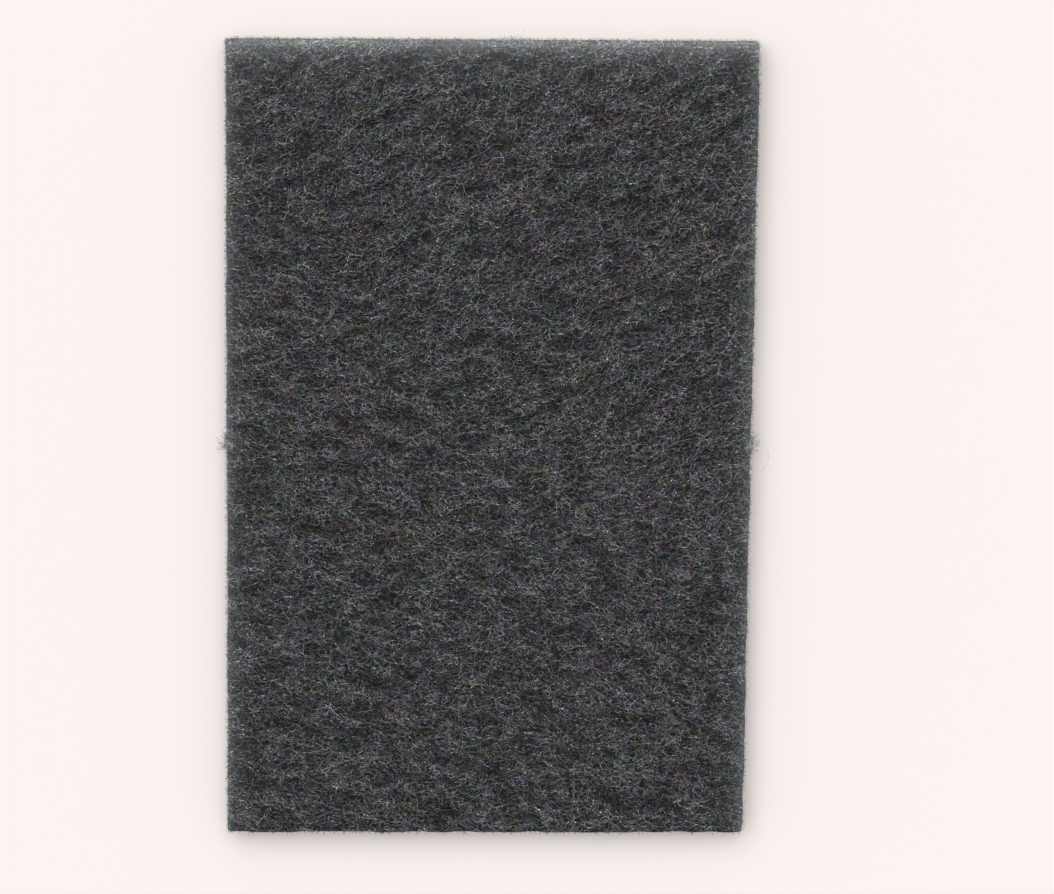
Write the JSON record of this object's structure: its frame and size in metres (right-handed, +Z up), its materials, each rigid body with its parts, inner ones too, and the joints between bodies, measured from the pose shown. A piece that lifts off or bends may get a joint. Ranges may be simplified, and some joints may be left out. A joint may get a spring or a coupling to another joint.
{
  "type": "non-woven abrasive pad",
  "caption": "Flat rectangular hand pad of lofty abrasive fibre web for scouring and deburring, with die-cut sides, soft hollows over its face and small torn nibs at the middles of its edges.",
  "frame": {"origin": "on the surface that the pad lies on, under the middle of the pad's box", "axes": "+Y along the pad's length, +X across its width, +Z up through its thickness"},
  "size_m": [0.1522, 0.2331, 0.0095],
  "materials": {
    "fibre_web": "matted charcoal grey nylon fibre with abrasive grain and resin, matt, with fine light glints on single fibres"
  },
  "bodies": {
    "root": {"abrasive_pad": "fibre_web"}
  },
  "joints": []
}
